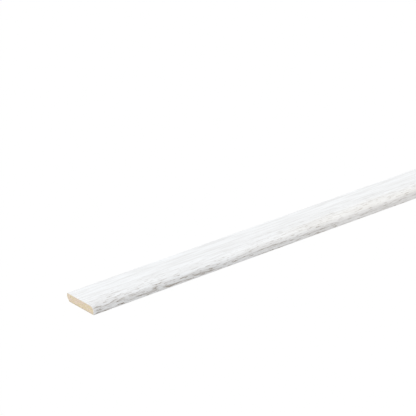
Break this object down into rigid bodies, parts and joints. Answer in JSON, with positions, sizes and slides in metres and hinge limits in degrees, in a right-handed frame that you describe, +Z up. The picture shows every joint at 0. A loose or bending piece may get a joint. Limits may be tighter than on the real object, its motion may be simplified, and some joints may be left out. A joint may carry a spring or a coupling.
{
  "type": "skirting board",
  "caption": "Thin flat skirting strip of fibreboard wrapped in white wood-grain film, rounded along its upper edge and bevelled behind its floor edge, to cover the joint of wall and floor.",
  "frame": {"origin": "middle of the bare back, halfway along the board and halfway across it", "axes": "+X along the board, +Y across it from the rounded upper edge to the floor edge, +Z up from the back to the face"},
  "size_m": [2.4, 0.025, 0.005],
  "materials": {
    "fibreboard": "matte",
    "wood_grain_film": "satin"
  },
  "bodies": {
    "root": {"fibreboard_core": "fibreboard", "decor_film": "wood_grain_film"}
  },
  "joints": []
}
